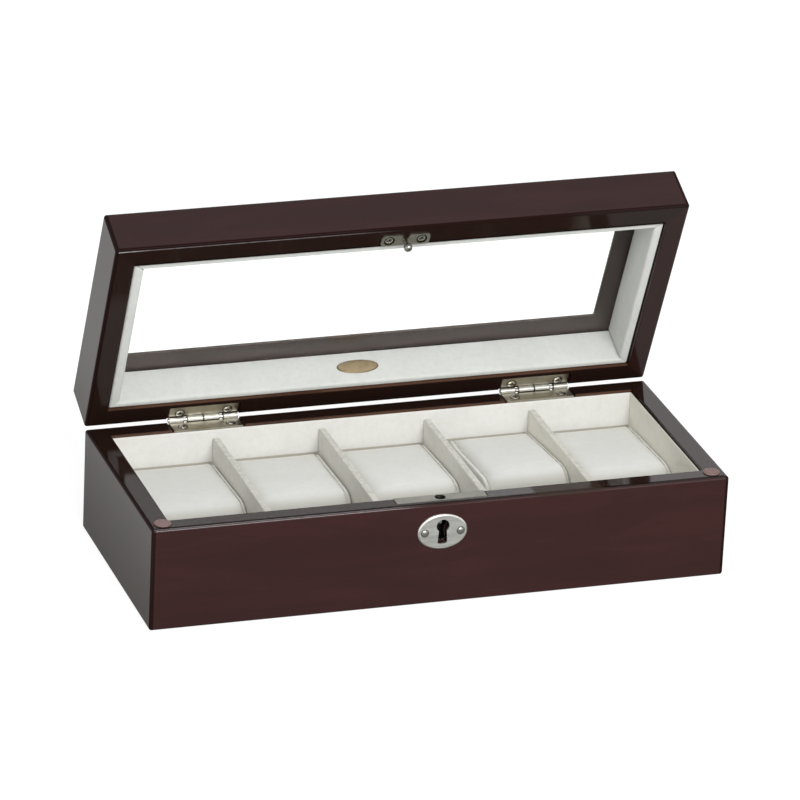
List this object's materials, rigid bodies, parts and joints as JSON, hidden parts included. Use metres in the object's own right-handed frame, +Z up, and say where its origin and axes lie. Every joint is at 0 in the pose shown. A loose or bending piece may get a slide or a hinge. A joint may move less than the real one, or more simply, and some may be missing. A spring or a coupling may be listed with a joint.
{
  "type": "watch display box",
  "caption": "Lacquered wooden display box with a glass-topped hinged lid, a key lock, and velvet compartments that hold watches on pillows.",
  "frame": {"origin": "centre of the base's underside", "axes": "+Z up, +X along the box to the right, -Y towards the keyhole side; the lid stands open at rest, 67 degrees from closed"},
  "size_m": [0.311, 0.1565, 0.1864],
  "materials": {
    "mahogany_lacquer": "dark red-brown wood under clear high-gloss lacquer",
    "velvet_lining": "short-pile off-white velvet over card",
    "pillow_velvet": "soft off-white velvet over a foam pad",
    "underside_felt": "black felt",
    "bumper_felt": "brown self-adhesive felt",
    "panel_board": "plain fibreboard",
    "satin_nickel": "satin nickel plate",
    "lock_steel": "plain bright steel",
    "gilt_brass": "satin pale brass",
    "clear_glass": "clear polished"
  },
  "bodies": {
    "base": {"base_front_wall": "mahogany_lacquer", "base_rear_wall": "mahogany_lacquer", "base_left_wall": "mahogany_lacquer", "base_right_wall": "mahogany_lacquer", "base_bottom_panel": "panel_board", "underside_felt": "underside_felt", "base_floor_pad": "velvet_lining", "base_front_liner": "velvet_lining", "base_rear_liner": "velvet_lining", "base_left_liner": "velvet_lining", "base_right_liner": "velvet_lining", "divider_1": "velvet_lining", "divider_2": "velvet_lining", "divider_3": "velvet_lining", "divider_4": "velvet_lining", "bumper_pad_left": "bumper_felt", "bumper_pad_right": "bumper_felt", "lock_face_plate": "satin_nickel", "lock_case": "lock_steel", "lock_cap": "lock_steel", "lock_spring": "lock_steel", "lock_drill_pin": "lock_steel", "escutcheon_plate": "satin_nickel", "escutcheon_pins": "satin_nickel", "left_hinge_base_leaf": "satin_nickel", "right_hinge_base_leaf": "satin_nickel", "left_hinge_pin": "satin_nickel", "right_hinge_pin": "satin_nickel", "hinge_base_screws": "satin_nickel"},
    "lid": {"lid_front_wall": "mahogany_lacquer", "lid_rear_wall": "mahogany_lacquer", "lid_left_wall": "mahogany_lacquer", "lid_right_wall": "mahogany_lacquer", "lid_front_rail": "mahogany_lacquer", "lid_rear_rail": "mahogany_lacquer", "lid_left_rail": "mahogany_lacquer", "lid_right_rail": "mahogany_lacquer", "glass_pane": "clear_glass", "lid_front_liner": "velvet_lining", "lid_rear_liner": "velvet_lining", "lid_left_liner": "velvet_lining", "lid_right_liner": "velvet_lining", "label_plate": "gilt_brass", "striker_plate": "satin_nickel", "striker_stud": "satin_nickel", "striker_screws": "satin_nickel", "left_hinge_lid_leaf": "satin_nickel", "right_hinge_lid_leaf": "satin_nickel", "hinge_lid_screws": "satin_nickel"},
    "lock_bolt": {"lock_bolt": "lock_steel"},
    "cushion_1": {"cushion_1": "pillow_velvet"},
    "cushion_2": {"cushion_2": "pillow_velvet"},
    "cushion_3": {"cushion_3": "pillow_velvet"},
    "cushion_4": {"cushion_4": "pillow_velvet"},
    "cushion_5": {"cushion_5": "pillow_velvet"}
  },
  "joints": [
    {"name": "lid_hinge", "type": "hinge", "parent": "base", "child": "lid", "pos_m": [0, 0.065, 0.0565], "axis": [-1, 0, 0], "range_deg": [-67, 28]},
    {"name": "lock_bolt_slide", "type": "slide", "parent": "base", "child": "lock_bolt", "axis": [1, 0, 0], "range_m": [0, 0.0042]},
    {"name": "cushion_1_lift", "type": "slide", "parent": "base", "child": "cushion_1", "axis": [0, 0, 1], "range_m": [0, 0.046]},
    {"name": "cushion_2_lift", "type": "slide", "parent": "base", "child": "cushion_2", "axis": [0, 0, 1], "range_m": [0, 0.046]},
    {"name": "cushion_3_lift", "type": "slide", "parent": "base", "child": "cushion_3", "axis": [0, 0, 1], "range_m": [0, 0.046]},
    {"name": "cushion_4_lift", "type": "slide", "parent": "base", "child": "cushion_4", "axis": [0, 0, 1], "range_m": [0, 0.046]},
    {"name": "cushion_5_lift", "type": "slide", "parent": "base", "child": "cushion_5", "axis": [0, 0, 1], "range_m": [0, 0.046]}
  ]
}
